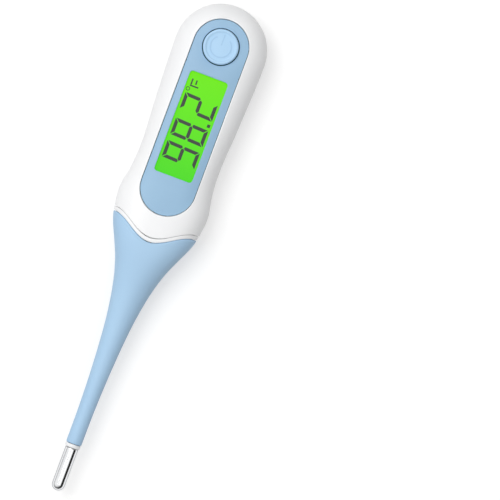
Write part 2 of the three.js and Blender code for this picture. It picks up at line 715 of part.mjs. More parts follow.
function rearHousing() {
  const onFloor = WALL - 0.1; // just inside the floor, so that what stands on it joins it
  const slotHalf = BLADE_HALF_WIDTH + FIT;
  const slotStart = bladeEnd - BLADE_FOOT - 1;
  const bladeSlot = box(slotStart, CELL_STATION, -slotHalf, slotHalf, cellBottom + FIT, AXIS_HEIGHT);
  const bayWallRadius = COVER_RADIUS + FIT + BAY_WALL;
  const bayWall = peg(CELL_STATION, 0, bayWallRadius, sealTop - BAY_WALL_LAP, underBoard, 48);
  const tabHalf = TAB_FLOOR_HALF_WIDTH;
  const tabFloorTop = COVER_THICKNESS + FIT + TAB_FLOOR;
  const tabFloor = box(COVER_SCREW_STATION - tabHalf, CELL_STATION, -tabHalf, tabHalf, onFloor, tabFloorTop);
  const boss = peg(COVER_SCREW_STATION, 0, COVER_BOSS_RADIUS, onFloor, COVER_SCREW_TIP + FIT);
  let solid = outer.subtract(cavity).add(bayWall.intersect(outer)).add(tabFloor).add(boss);
  for (const y of [-BOARD_SCREW_SIDE, BOARD_SCREW_SIDE]) {
    const bore = BOARD_SCREW.shankRadius + BORE_GAP;
    solid = solid
      .add(peg(BOARD_SCREW_STATION, y, BOARD_POST_RADIUS, onFloor, underBoard))
      .subtract(peg(BOARD_SCREW_STATION, y, bore, WALL + 0.5, underBoard + PAST, 24));
  }
  const coverBore = COVER_SCREW.shankRadius + BORE_GAP;
  return solid
    .subtract(peg(CELL_STATION, 0, bayRadius, -PAST, underBoard + PAST, 48))
    .subtract(peg(CELL_STATION, 0, COVER_RADIUS + FIT, -PAST, sealTop, 48))
    .subtract(coverPlan(FIT, -PAST, sealTop))
    .subtract(peg(COVER_SCREW_STATION, 0, coverBore, -PAST, COVER_SCREW_TIP + PAST, 24))
    .subtract(bladeSlot)
    .subtract(tipSide(0))
    .subtract(sealGroove)
    .intersect(slab(-PAST, seamBottom));
}
place('rear_housing', rearHousing(), white);

// ---------- circuit board and its parts ----------

function mainBoard() {
  const outline = roundedRectangle(BOARD_START, BOARD_END, BOARD_HALF_WIDTH, BOARD_CORNER);
  let solid = prism(outline, boardBottom, BOARD_TOP);
  for (const y of [-BOARD_SCREW_SIDE, BOARD_SCREW_SIDE]) {
    const hole = BOARD_SCREW.shankRadius + FIT;
    solid = solid.subtract(peg(BOARD_SCREW_STATION, y, hole, 0, BOARD_TOP + PAST, 24));
  }
  return solid;
}
place('main_board', mainBoard(), boardGreen);

for (const [suffix, side] of [['a', 1], ['b', -1]]) {
  const headTop = BOARD_TOP + SNUG + BOARD_SCREW.headDepth;
  const y = side * BOARD_SCREW_SIDE;
  const boardScrew = screw(BOARD_SCREW_STATION, y, headTop, BOARD_SCREW_TIP, BOARD_SCREW);
  place(`board_screw_${suffix}`, boardScrew, steel);
}

// Drop of resin over the controller chip.
function globTop(s, y, radius, height) {
  const steps = 6;
  const profile = [];
  for (let i = 0; i <= steps; i += 1) {
    const angle = (Math.PI / 2) * (i / steps);
    profile.push([radius * Math.sin(angle), underBoard - height * Math.cos(angle)]);
  }
  profile.push([0, underBoard]);
  return turned(s, y, profile, 28);
}
place('controller_glob_top', globTop(97, 2.6, 3.4, 1.2), epoxy);

// Small parts under the board: middle station, middle y, length, width, height.
const SMALL_PARTS = [
  ['crystal_can', 93.5, -6.5, 6, 1.8, 1.6, springSteel],
  ['capacitor', 101.1, -6.1, 3.2, 1.6, 1.5, ceramic],
  ['resistor_a', 102.4, 5.45, 1.6, 0.9, 0.6, black],
  ['resistor_b', 102.4, 7.15, 1.6, 0.9, 0.6, black],
];
for (const [name, s, y, length, width, height, material] of SMALL_PARTS) {
  const [l, w] = [length / 2, width / 2];
  place(name, box(s - l, s + l, y - w, y + w, underBoard - height, underBoard), material);
}

// Piezo buzzer on the inside of the back, with two leads up to the board.
const plateBottom = WALL + FIT;
const plateTop = plateBottom + BUZZER_THICKNESS;
const ceramicBottom = plateTop + SNUG;
const ceramicTop = ceramicBottom + BUZZER_THICKNESS;
place('buzzer_plate', peg(BUZZER_STATION, 0, BUZZER_RADIUS, plateBottom, plateTop, 32), brass);
const buzzerCeramic = peg(BUZZER_STATION, 0, BUZZER_CERAMIC_RADIUS, ceramicBottom, ceramicTop, 28);
place('buzzer_ceramic', buzzerCeramic, ceramic);

// Lead that stands on a disc, leans towards the neck and rises to the board.
function buzzerLead(s, y, foot) {
  const path = [
    [s, y, foot],
    [s - 1, y, foot + 1],
    [s - 1.5, y, underBoard - 1],
    [s - 1.5, y, underBoard],
  ];
  return wire(path, BUZZER_LEAD_RADIUS, 10);
}
place('buzzer_lead_a', buzzerLead(BUZZER_STATION - 6, 0, plateTop + BUZZER_LEAD_RADIUS + SNUG), brass);
place('buzzer_lead_b', buzzerLead(BUZZER_STATION - 3.4, -2, ceramicTop + BUZZER_LEAD_RADIUS + SNUG), brass);

// ---------- neck insert and stem ----------

const bandTop = -SEAM_GAP;
const bandBottom = bandTop - BAND_WIDTH;

// Ring between the housings and the stem: a visible band, a tongue behind it and a spigot before it.
function neckInsert() {
  const span = (inset) => body(SPIGOT_START, TONGUE_END, inset, 7);
  const underLedge = slab(panelBottom - FIT - PANEL_LEDGE - LEDGE_CURVE, TOP_HEIGHT, ledgeStart - FIT);
  const aboveFloor = slab(WALL + FIT, TOP_HEIGHT);
  const band = outer.intersect(tipSide(bandTop)).subtract(tipSide(bandBottom));
  const inner = span(WALL + FIT).intersect(aboveFloor);
  const tongue = inner.subtract(tipSide(bandBottom)).subtract(underLedge);
  const spigot = inner.intersect(tipSide(bandTop));
  const hollow = span(WALL + FIT + INSERT_WALL).subtract(tipSide(bandTop));
  return band
    .add(tongue)
    .add(spigot)
    .subtract(hollow)
    .subtract(rod(SPIGOT_START - PAST, LENGTH, INSERT_BORE));
}
place('neck_insert', neckInsert(), white);

const jointStation = (i) => FLEX_START + LINK_PITCH * i;
const flexEnd = jointStation(LINK_COUNT);

// Arc of a ball round a joint, drawn as radius and station, between two radii.
function ballArc(joint, ballRadius, fromRadius, toRadius) {
  const steps = 4;
  const from = Math.asin(fromRadius / ballRadius);
  const to = Math.asin(toRadius / ballRadius);
  const points = [];
  for (let i = 0; i <= steps; i += 1) {
    const angle = from + ((to - from) * i) / steps;
    points.push([ballRadius * Math.sin(angle), joint - ballRadius * Math.cos(angle)]);
  }
  return points;
}

// A piece has a socket round the ball of the piece behind it; the skin meets its rim.
function socketArc(joint) {
  const rim = outlineAt(joint - LINK_GAP);
  return ballArc(joint, outlineAt(joint) + LINK_GAP, rim, WIRE_BORE);
}

function closed(profile) {
  return [...profile, profile[0]];
}

// Link: a ball at its tip-side joint, the skin, and a socket at the joint behind.
function stemLink(far, near) {
  const ball = ballArc(far, outlineAt(far), WIRE_BORE, outlineAt(far));
  return turnedAlong(closed([...ball, ...socketArc(near)]), STEM_AROUND);
}

function stemBase() {
  const skin = outer.intersect(tipSide(bandBottom - SNUG)).subtract(slab(-PAST, FAR, 0, flexEnd));
  const radius = outlineAt(flexEnd);
  const root = flexEnd + 0.5;
  const ball = turnedAlong([...ballArc(flexEnd, radius, 0, radius), [radius, root], [0, root]], AROUND);
  const spigotSocket = body(SPIGOT_START - FIT, TONGUE_END, WALL, 7);
  return skin
    .add(ball)
    .subtract(spigotSocket)
    .subtract(rod(0, LENGTH, WIRE_BORE));
}
place('stem_base', stemBase(), stemBlue);

for (let i = LINK_COUNT; i >= 1; i -= 1) {
  const name = `stem_link_${String(LINK_COUNT + 1 - i).padStart(2, '0')}`;
  place(name, stemLink(jointStation(i - 1), jointStation(i)), stemBlue);
}

const collarEnd = STEM_END;
const collarStart = collarEnd - COLLAR_LENGTH;
const spigotRadius = CAP_RADIUS - CAP_WALL - SNUG;

function stemTip() {
  const start = collarEnd + SNUG;
  const pocketRadius = spigotRadius + SNUG;
  const pocketEnd = collarEnd + COLLAR_SPIGOT + SNUG;
  const profile = [
    [pocketRadius, start],
    [outlineAt(start), start],
    ...socketArc(FLEX_START),
    [WIRE_BORE, pocketEnd],
    [pocketRadius, pocketEnd],
  ];
  return turnedAlong(closed(profile), STEM_AROUND);
}
place('stem_tip', stemTip(), stemBlue);

// ---------- probe ----------

function probeCollar() {
  const profile = [
    [WIRE_BORE, collarStart - COLLAR_SPIGOT],
    [spigotRadius, collarStart - COLLAR_SPIGOT],
    [spigotRadius, collarStart],
    [COLLAR_RADIUS - COLLAR_BEVEL / 4, collarStart],
    [COLLAR_RADIUS, collarStart + COLLAR_BEVEL],
    [COLLAR_RADIUS, collarEnd],
    [spigotRadius, collarEnd],
    [spigotRadius, collarEnd + COLLAR_SPIGOT],
    [WIRE_BORE, collarEnd + COLLAR_SPIGOT],
  ];
  return turnedAlong(closed(profile));
}
place('probe_collar', probeCollar(), white);

// Round-ended rod, as radius and station.
function domedProfile(radius, start, end) {
  const steps = 5;
  const profile = [];
  for (let i = 0; i <= steps; i += 1) {
    const angle = (Math.PI / 2) * (i / steps);
    profile.push([radius * Math.sin(angle), start + radius * (1 - Math.cos(angle))]);
  }
  return [...profile, [radius, end], [0, end]];
}

const capEnd = collarStart - SNUG;
const capInner = CAP_RADIUS - CAP_WALL;
const capInside = turnedAlong(domedProfile(capInner, CAP_WALL, capEnd + PAST));
place('probe_cap', turnedAlong(domedProfile(CAP_RADIUS, 0, capEnd)).subtract(capInside), steel);

function probePotting() {
  const beadStart = BEAD_STATION - BEAD_RADIUS - FIT - SNUG;
  const plug = turnedAlong(domedProfile(capInner - SNUG, CAP_WALL + SNUG, POTTING_END));
  return plug.subtract(rod(beadStart, POTTING_END + PAST, BEAD_RADIUS + FIT));
}
place('probe_potting', probePotting(), epoxy);
place('thermistor', ball(BEAD_STATION, BEAD_RADIUS, 10), black);

// Two leads run from the bead through the stem, spread behind the neck and end on the board.
for (const [suffix, side] of [['a', 1], ['b', -1]]) {
  const straight = [BEAD_STATION + BEAD_RADIUS + SNUG, 30, 50, 72];
  const path = [
    ...straight.map((s) => [s, side * WIRE_SPREAD, AXIS_HEIGHT]),
    [78, side * 0.9, AXIS_HEIGHT + 0.3],
    [BOARD_START - 1.6, side * 2, BOARD_TOP + 0.7],
    [BOARD_START + 1.8, side * 2.6, partsBottom + WIRE_RADIUS],
  ];
  place(`thermistor_lead_${suffix}`, wire(path, WIRE_RADIUS, 18), stemBlue);
}

export default group;
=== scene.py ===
"""Looks for the flexible-stem digital thermometer.

Smooth shells, display, button, stem and probe go over the CAD frame.
"""

import json
import math

import bpy
import numpy as np
from mathutils import Matrix, Vector


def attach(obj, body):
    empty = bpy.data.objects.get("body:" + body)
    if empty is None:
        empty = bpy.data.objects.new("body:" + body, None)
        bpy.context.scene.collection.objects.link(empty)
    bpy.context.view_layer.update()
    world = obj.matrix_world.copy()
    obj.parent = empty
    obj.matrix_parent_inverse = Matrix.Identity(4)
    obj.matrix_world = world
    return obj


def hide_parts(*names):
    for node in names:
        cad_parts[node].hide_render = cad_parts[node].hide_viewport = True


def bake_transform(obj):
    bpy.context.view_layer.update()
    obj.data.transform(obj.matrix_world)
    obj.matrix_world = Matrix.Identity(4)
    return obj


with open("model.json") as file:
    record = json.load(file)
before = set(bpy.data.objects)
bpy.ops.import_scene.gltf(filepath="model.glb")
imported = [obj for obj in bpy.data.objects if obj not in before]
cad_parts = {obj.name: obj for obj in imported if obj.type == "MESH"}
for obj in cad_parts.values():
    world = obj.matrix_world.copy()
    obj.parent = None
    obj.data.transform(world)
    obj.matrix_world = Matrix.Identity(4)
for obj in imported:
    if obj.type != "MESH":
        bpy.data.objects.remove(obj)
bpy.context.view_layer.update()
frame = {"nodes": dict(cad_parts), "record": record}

MM = 0.001

# ---------- dimensions, in millimetres, with stations measured from the probe tip ----------

LENGTH = 142.1
CROWN_RADIUS = 12.85
CROWN_STATION = LENGTH - CROWN_RADIUS
FRONT_RISE = 8.1
REAR_DEPTH = 7.9
AXIS_HEIGHT = 7.5
OUTLINE = [
    (13.6, 2.2),
    (24, 2.27),
    (34, 2.63),
    (44, 3.28),
    (52, 4.13),
    (60, 5.58),
    (66, 7.35),
    (71, 9.5),
    (75.5, 11.5),
    (79.3, 12.45),
    (85, 12.93),
    (90.5, 11.95),
    (98, 11.5),
    (111, 12.2),
    (CROWN_STATION, CROWN_RADIUS),
]
ROUND_UNTIL = 55
SQUARE_FROM = 80
FRONT_SQUARENESS = 2.8
REAR_SQUARENESS = 4
HEIGHT_BLEND = 6.0  # how sharply the height changes from the stem's to the body's

SEAM_SIDE = 79.3
SEAM_MIDDLE = 74.4
SEAM_GAP = 0.2
SNUG = 0.15
BAND_WIDTH = 1.15
TONGUE = 1.5  # the band's tongue, behind the front and rear shells
TONGUE_DEPTH = 2.1
SHELL_RETURN = 1.2  # how far a shell turns in at its seam
BAND_ROUND = 0.25
BAND_RETURN = 1.3

PANEL_START = 80.9
PANEL_END = 137.5
PANEL_RADIUS = 7.76
PANEL_RECESS = 0.4
PANEL_THICKNESS = 1.1
PANEL_EDGE = 0.12
OPENING_DEPTH = 1.6
OPENING_EDGE = 0.3
PANEL_SPLIT = 123.4  # where the panel's window half meets its button half
WINDOW_START = 92
WINDOW_END = 121.1
WINDOW_HALF = 5.5
WINDOW_CORNER = 0.9
LENS_INSET = 0.65
LENS_GAP = 0.1
LENS_THICKNESS = 0.8
LCD_TOP = 13.0

BUTTON_STATION = PANEL_END - PANEL_RADIUS
BUTTON_RADIUS = 4.9
BUTTON_TOP = AXIS_HEIGHT + FRONT_RISE + 0.1
BUTTON_CAP = 1.35
BUTTON_GAP = 0.25
BUTTON_RING = 0.95  # width of the raised ring round the button's disc
BUTTON_DISC_DEPTH = 0.22
BUTTON_FILLET = 0.45
BUTTON_NECK = 1.8
BUTTON_NECK_DEPTH = 1.6
DISC_STEP = 0.15
POWER_RADIUS = 2.9
POWER_STROKE = 0.34
POWER_OPENING = math.radians(38)
POWER_BAR_START = 0.4
POWER_BAR_END = 3.5
POWER_THICKNESS = 0.13
POWER_SINK = 0.02
DISH_DEPTH = 0.3
DISH_WIDTH = 1.9

CELL_STATION = 121
BAY_RADIUS = 8.3
BAY_FLOOR = 2.3
BAY_WALL = 4
COVER_LEDGE = 1.8
REAR_EDGE = 0.2
OPENING_RADIUS = 9.8
TAB_START = 103.5
TAB_HALF = 3.9

FIRST_JOINT = 47
LINK_PITCH = 3
JOINT_COUNT = 10
JOINTS = [FIRST_JOINT - LINK_PITCH * i for i in range(JOINT_COUNT)]
BODIES = ["case"] + [f"link_{i:02d}" for i in range(1, JOINT_COUNT)] + ["tip"]
HALF_PITCH = LINK_PITCH / 2
LEAD_RADIUS = 0.28
LEAD_START = 3.2  # beside the thermistor
LEAD_PATH = [(LEAD_START, 0.42, 0), (72, 0.42, 0), (78, 0.9, 0.3), (82, 2, 0.8), (85.4, 2.6, 0.68)]
STEM_END = 13.6
STEM_EDGE = 0.12
STEM_EDGE_LENGTH = 0.25
COLLAR_START = 12.5
COLLAR_RADIUS = 2.12
CAP_RADIUS = 1.83
CAP_NECK = 1.3
CAP_GAP = 0.12

LEAN = math.radians(20.5)  # how far the object leans in the picture
VIEW_WIDTH = 137.74  # width of the picture at the object
AIM_RIGHT = 28.5
AIM_DOWN = 0.41
CAMERA_LENS = 200
SENSOR = 36

AROUND = 96
BODY_RADIUS_LIMIT = 80.0  # further than any edge of the body is from a point inside it


# ---------- outline and sections, the same as the CAD's ----------


def outline_at(s):
    """Half-width of the outer skin at a station: a cubic through the outline's points."""
    stations = np.array([point[0] for point in OUTLINE], float)
    widths = np.array([point[1] for point in OUTLINE], float)
    slopes = np.zeros(len(OUTLINE))
    slopes[1:-1] = (widths[2:] - widths[:-2]) / (stations[2:] - stations[:-2])
    s = np.clip(np.asarray(s, float), stations[0], stations[-1])
    i = np.clip(np.searchsorted(stations, s, side="right") - 1, 0, len(OUTLINE) - 2)
    span = stations[i + 1] - stations[i]
    t = (s - stations[i]) / span
    bend = t * t * (3 - 2 * t)
    rise = slopes[i] * span * t * (1 - t) ** 2
    fall = slopes[i + 1] * span * t * t * (t - 1)
    return widths[i] + (widths[i + 1] - widths[i]) * bend + rise + fall


def crown_share(s, inset):
    """How far a station is into the rounded end, from 0 to 1."""
    return np.clip((np.asarray(s, float) - CROWN_STATION) / (CROWN_RADIUS - inset), 0, 1)


def half_width(s, inset=0.0):
    radius = CROWN_RADIUS - inset
    in_crown = radius * np.sqrt(1 - crown_share(s, inset) ** 2)
    return np.where(np.asarray(s) > CROWN_STATION, in_crown, outline_at(s) - inset)


def half_height(s, full, inset=0.0):
    blended = (outline_at(s) ** -HEIGHT_BLEND + full**-HEIGHT_BLEND) ** (-1 / HEIGHT_BLEND) - inset
    return blended * (1 - crown_share(s, inset) ** FRONT_SQUARENESS) ** (1 / FRONT_SQUARENESS)


def squareness(s, full):
    t = np.clip((np.asarray(s, float) - ROUND_UNTIL) / (SQUARE_FROM - ROUND_UNTIL), 0, 1)
    return 2 + (full - 2) * t * t * (3 - 2 * t)


def front_height(s, y, inset=0.0):
    power = squareness(s, FRONT_SQUARENESS)
    across = np.clip(np.abs(y) / np.maximum(half_width(s, inset), 1e-6), 0, 1)
    return AXIS_HEIGHT + half_height(s, FRONT_RISE, inset) * (1 - across**power) ** (1 / power)


def rear_height(s, y):
    power = squareness(s, REAR_SQUARENESS)
    across = np.clip(np.abs(y) / np.maximum(half_width(s), 1e-6), 0, 1)
    return np.maximum(AXIS_HEIGHT - half_height(s, REAR_DEPTH) * (1 - across**power) ** (1 / power), 0)


def section(s, angle):
    """Points of the outer skin, as station, y and z, in the directions of angles from +Y towards +Z."""
    s = np.asarray(s, float)
    front = np.sin(angle) >= 0
    power = squareness(s, np.where(front, FRONT_SQUARENESS, REAR_SQUARENESS))
    full = np.where(front, FRONT_RISE, REAR_DEPTH)
    across = np.abs(np.cos(angle)) / half_width(s)
    up = np.abs(np.sin(angle)) / half_height(s, full)
    radius = (across**power + up**power) ** (-1 / power)
    z = np.maximum(AXIS_HEIGHT + radius * np.sin(angle), 0)
    return np.stack([s + 0 * radius, radius * np.cos(angle), z], -1)


def seam(y):
    """Station of the neck seam, lower in the middle than at the sides."""
    side = float(outline_at(SEAM_SIDE))
    wave = 0.5 + 0.5 * np.cos(np.pi * np.minimum(np.abs(y) / side, 1))
    return SEAM_SIDE + (SEAM_MIDDLE - SEAM_SIDE) * wave


def seam_station(angle, shift):
    """Station at which the skin in that direction crosses the neck seam moved by a shift."""
    s = np.full(len(angle), SEAM_SIDE + shift)
    for _ in range(30):
        s = 0.5 * s + 0.5 * (seam(section(s, angle)[:, 1]) + shift)
    return s


# ---------- plan outlines, as tests of whether a point is inside ----------


def in_stadium(s, y, start, end, radius):
    along = np.clip(s, start + radius, end - radius)
    return (s - along) ** 2 + y**2 < radius**2


def in_rounded(s, y, start, end, half, corner):
    along = np.clip(s, start + corner, end - corner)
    across = np.clip(y, -half + corner, half - corner)
    return (s - along) ** 2 + (y - across) ** 2 < corner**2


def in_body(s, y):
    return (np.abs(y) < half_width(s)) & (s > seam(y)) & (s < LENGTH)


def in_opening(s, y):
    disc = (s - CELL_STATION) ** 2 + y**2 < OPENING_RADIUS**2
    return disc | in_stadium(s, y, TAB_START, CELL_STATION + TAB_HALF, TAB_HALF)


def reach(inside, centre, angles):
    """Distance from a centre to the edge of a plan outline, in each direction."""
    near = np.zeros(len(angles))
    far = np.full(len(angles), BODY_RADIUS_LIMIT)
    for _ in range(40):
        middle = (near + far) / 2
        hit = inside(centre + middle * np.cos(angles), middle * np.sin(angles))
        near = np.where(hit, middle, near)
        far = np.where(hit, far, middle)
    return near


# ---------- meshes ----------


def add_mesh(name, rows, material, body, replaced=(), flip=False):
    """A mesh from closed rows of points in stations, y and z, each row joined to the next."""
    count = len(rows[0])
    points = np.concatenate([np.asarray(row, float) for row in rows])
    points[:, 0] -= LENGTH / 2
    faces = []
    for r in range(len(rows) - 1):
        for c in range(count):
            d = (c + 1) % count
            face = (r * count + c, r * count + d, (r + 1) * count + d, (r + 1) * count + c)
            faces.append(face[::-1] if flip else face)
    mesh = bpy.data.meshes.new(name)
    mesh.from_pydata((points * MM).tolist(), [], faces)
    mesh.polygons.foreach_set("use_smooth", [True] * len(mesh.polygons))
    mesh.materials.append(material)
    mesh.validate()
    mesh.update()
    thing = bpy.data.objects.new(name, mesh)
    bpy.context.scene.collection.objects.link(thing)
    if body:
        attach(thing, body)
    if replaced:
        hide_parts(*replaced)
    return thing


def sharpen(thing, degrees=38):
    thing.data.set_sharp_from_angle(angle=math.radians(degrees))
    return thing


def plan_row(centre, radius, angles, height):
    s = centre + radius * np.cos(angles)
    y = radius * np.sin(angles)
    return np.stack([s, y, height(s, y)], -1)


def towards_axis(row, depth):
    """The row moved in by a depth, towards the axis."""
    target = np.zeros_like(row)
    target[:, 0] = np.minimum(row[:, 0], CROWN_STATION)
    target[:, 2] = AXIS_HEIGHT
    away = row - target
    length = np.maximum(np.linalg.norm(away, axis=1, keepdims=True), 1e-6)
    return row - away / length * depth


def lowered(row, depth):
    moved = row.copy()
    moved[:, 2] -= depth
    return moved


def turned_rows(profile, station, sides=AROUND):
    """Rows for a shape turned about an upright axis; the profile is radius and height."""
    angles = np.linspace(0, 2 * np.pi, sides, endpoint=False)
    rows = []
    for radius, z in profile:
        s = station + radius * np.cos(angles)
        y = radius * np.sin(angles)
        rows.append(np.stack([s, y, 0 * angles + z], -1))
    return rows


def axial_rows(profile, sides=64):
    """Rows for a shape turned about the stem's axis; the profile is radius and station."""
    angles = np.linspace(0, 2 * np.pi, sides, endpoint=False)
    rows = []
    for radius, s in profile:
        y = radius * np.cos(angles)
        z = AXIS_HEIGHT + radius * np.sin(angles)
        rows.append(np.stack([0 * angles + s, y, z], -1))
    return rows


# ---------- materials ----------

GRAIN_HEIGHT = 0.00002  # in metres


def new_material(name):
    material = bpy.data.materials.new(name)
    material.use_nodes = True
    tree = material.node_tree
    return material, tree.nodes, tree.links, tree.nodes["Principled BSDF"]


def varied(name, colour, tint, roughness, grain, bump=0.0, patch=60.0, metallic=0.0, spread=0.06):
    """Base for most materials: patches of colour and tint, uneven roughness and a fine grain."""
    material, nodes, links, shader = new_material(name)
    place = nodes.new("ShaderNodeTexCoord")
    patches = nodes.new("ShaderNodeTexNoise")
    patches.inputs["Scale"].default_value = patch
    patches.inputs["Detail"].default_value = 4
    links.new(place.outputs["Object"], patches.inputs["Vector"])
    ramp = nodes.new("ShaderNodeValToRGB")
    ramp.color_ramp.elements[0].position = 0.35
    ramp.color_ramp.elements[0].color = (*colour, 1)
    ramp.color_ramp.elements[1].position = 0.75
    ramp.color_ramp.elements[1].color = (*tint, 1)
    links.new(patches.outputs["Fac"], ramp.inputs["Fac"])
    links.new(ramp.outputs["Color"], shader.inputs["Base Color"])
    fine = nodes.new("ShaderNodeTexNoise")
    fine.inputs["Scale"].default_value = grain
    fine.inputs["Detail"].default_value = 3
    links.new(place.outputs["Object"], fine.inputs["Vector"])
    rough = nodes.new("ShaderNodeMapRange")
    rough.inputs["To Min"].default_value = roughness - spread
    rough.inputs["To Max"].default_value = roughness + spread
    links.new(fine.outputs["Fac"], rough.inputs["Value"])
    links.new(rough.outputs["Result"], shader.inputs["Roughness"])
    if bump:
        relief = nodes.new("ShaderNodeBump")
        relief.inputs["Strength"].default_value = bump
        relief.inputs["Distance"].default_value = GRAIN_HEIGHT
        links.new(fine.outputs["Fac"], relief.inputs["Height"])
        links.new(relief.outputs["Normal"], shader.inputs["Normal"])
    shader.inputs["Metallic"].default_value = metallic
    return material


def white_plastic():
    colour = (0.87, 0.875, 0.88)
    tint = (0.85, 0.855, 0.865)
    return varied("white_plastic", colour, tint, 0.36, 2600, bump=0.08, patch=35)


def panel_plastic():
    return varied("panel_plastic", (0.295, 0.48, 0.66), (0.275, 0.45, 0.63), 0.5, 5200, bump=0.25, patch=90)


def button_rubber():
    return varied("button_rubber", (0.42, 0.64, 0.86), (0.40, 0.62, 0.84), 0.55, 4200, bump=0.15, patch=150)


# The power symbol's blue, a little darker than the button's: painted shade in place of the shading of the
# symbol's raised relief.
def symbol_painted_shade():
    return varied("symbol_painted_shade", (0.36, 0.57, 0.79), (0.34, 0.55, 0.77), 0.55, 4200, bump=0.1, patch=150)


def stem_rubber():
    return varied("stem_rubber", (0.40, 0.60, 0.80), (0.38, 0.575, 0.78), 0.58, 3800, bump=0.2, patch=45)


def polished_steel():
    colour = (0.86, 0.87, 0.88)
    tint = (0.8, 0.81, 0.83)
    material = varied("polished_steel", colour, tint, 0.12, 1500, metallic=1, spread=0.03)
    shader = material.node_tree.nodes["Principled BSDF"]
    shader.inputs["Specular Tint"].default_value = (0.1, 0.1, 0.11, 1)
    return material


def plated_steel():
    return varied("plated_steel", (0.62, 0.63, 0.65), (0.5, 0.51, 0.53), 0.3, 1800, metallic=1, patch=220)


def brass_metal():
    return varied("brass_metal", (0.68, 0.47, 0.15), (0.55, 0.36, 0.1), 0.32, 1500, metallic=1, patch=200)


def silicone_rubber():
    return varied("silicone_rubber", (0.45, 0.48, 0.51), (0.4, 0.43, 0.46), 0.65, 3000, bump=0.1)


def black_rubber():
    return varied("black_rubber", (0.03, 0.03, 0.032), (0.045, 0.045, 0.048), 0.75, 3000, bump=0.2)


def black_plastic():
    return varied("black_plastic", (0.02, 0.02, 0.022), (0.03, 0.03, 0.032), 0.42, 3000, bump=0.1)


def board_laminate():
    return varied("board_laminate", (0.02, 0.16, 0.07), (0.03, 0.2, 0.09), 0.4, 2500, bump=0.2, patch=500)


def ceramic_body():
    return varied("ceramic_body", (0.62, 0.56, 0.44), (0.52, 0.46, 0.36), 0.6, 3000, bump=0.1, patch=400)


def epoxy_resin():
    return varied("epoxy_resin", (0.03, 0.026, 0.022), (0.05, 0.042, 0.035), 0.25, 2000, bump=0.05)


def milky_plastic():
    return varied("milky_plastic", (0.78, 0.86, 0.79), (0.72, 0.81, 0.74), 0.3, 2000, bump=0.05)


def lcd_glow():
    """The lit LCD: yellower green at the button end, deeper green towards the stem."""
    material, nodes, links, shader = new_material("lcd_glow")
    place = nodes.new("ShaderNodeTexCoord")
    split = nodes.new("ShaderNodeSeparateXYZ")
    links.new(place.outputs["Object"], split.inputs["Vector"])
    along = nodes.new("ShaderNodeMapRange")
    along.inputs["From Min"].default_value = (WINDOW_START - LENGTH / 2) * MM
    along.inputs["From Max"].default_value = (WINDOW_END - LENGTH / 2) * MM
    links.new(split.outputs["X"], along.inputs["Value"])
    ramp = nodes.new("ShaderNodeValToRGB")
    ramp.color_ramp.elements[0].color = (0.075, 0.76, 0.014, 1)
    ramp.color_ramp.elements[1].color = (0.17, 0.88, 0.0, 1)
    links.new(along.outputs["Result"], ramp.inputs["Fac"])
    cloud = nodes.new("ShaderNodeTexNoise")
    cloud.inputs["Scale"].default_value = 110
    links.new(place.outputs["Object"], cloud.inputs["Vector"])
    soften = nodes.new("ShaderNodeMapRange")
    soften.inputs["To Min"].default_value = 0.94
    soften.inputs["To Max"].default_value = 1.04
    links.new(cloud.outputs["Fac"], soften.inputs["Value"])
    tone = nodes.new("ShaderNodeMix")
    tone.data_type = "RGBA"
    tone.blend_type = "MULTIPLY"
    tone.inputs["Factor"].default_value = 1
    links.new(ramp.outputs["Color"], tone.inputs["A"])
    links.new(soften.outputs["Result"], tone.inputs["B"])
    links.new(tone.outputs["Result"], shader.inputs["Emission Color"])
    shader.inputs["Emission Strength"].default_value = 0.9
    shader.inputs["Base Color"].default_value = (0.01, 0.05, 0.003, 1)
    shader.inputs["Roughness"].default_value = 0.35
    shader.inputs["Specular IOR Level"].default_value = 0.15
    return material


def lcd_ink():
    return varied("lcd_ink", (0.004, 0.014, 0.003), (0.006, 0.02, 0.004), 0.4, 3000)


def clear_window():
    """Thin clear plastic: see-through, with a weak reflection on its outer side that grows at a slant."""
    material, nodes, links, shader = new_material("clear_window")
    nodes.remove(shader)
    through = nodes.new("ShaderNodeBsdfTransparent")
    gloss = nodes.new("ShaderNodeBsdfGlossy")
    place = nodes.new("ShaderNodeTexCoord")
    smear = nodes.new("ShaderNodeTexNoise")
    smear.inputs["Scale"].default_value = 150
    links.new(place.outputs["Object"], smear.inputs["Vector"])
    rough = nodes.new("ShaderNodeMapRange")
    rough.inputs["To Min"].default_value = 0.04
    rough.inputs["To Max"].default_value = 0.12
    links.new(smear.outputs["Fac"], rough.inputs["Value"])
    links.new(rough.outputs["Result"], gloss.inputs["Roughness"])
    edge = nodes.new("ShaderNodeFresnel")
    edge.inputs["IOR"].default_value = 1.2
    side = nodes.new("ShaderNodeNewGeometry")
    front = nodes.new("ShaderNodeMath")
    front.operation = "SUBTRACT"
    front.inputs[0].default_value = 1
    links.new(side.outputs["Backfacing"], front.inputs[1])
    outer_gloss = nodes.new("ShaderNodeMath")
    outer_gloss.operation = "MULTIPLY"
    links.new(edge.outputs["Fac"], outer_gloss.inputs[0])
    links.new(front.outputs["Value"], outer_gloss.inputs[1])
    mix = nodes.new("ShaderNodeMixShader")
    links.new(outer_gloss.outputs["Value"], mix.inputs["Fac"])
    links.new(through.outputs["BSDF"], mix.inputs[1])
    links.new(gloss.outputs["BSDF"], mix.inputs[2])
    links.new(mix.outputs["Shader"], nodes["Material Output"].inputs["Surface"])
    return material


WHITE = white_plastic()
PANEL = panel_plastic()
BUTTON = button_rubber()
SYMBOL_PAINTED_SHADE = symbol_painted_shade()
STEM = stem_rubber()
STEEL = polished_steel()
PLATED = plated_steel()
BRASS = brass_metal()
SILICONE = silicone_rubber()
BLACK_RUBBER = black_rubber()
BLACK = black_plastic()
BOARD = board_laminate()
CERAMIC = ceramic_body()
EPOXY = epoxy_resin()
MILKY = milky_plastic()
GLOW = lcd_glow()
INK = lcd_ink()
CLEAR = clear_window()

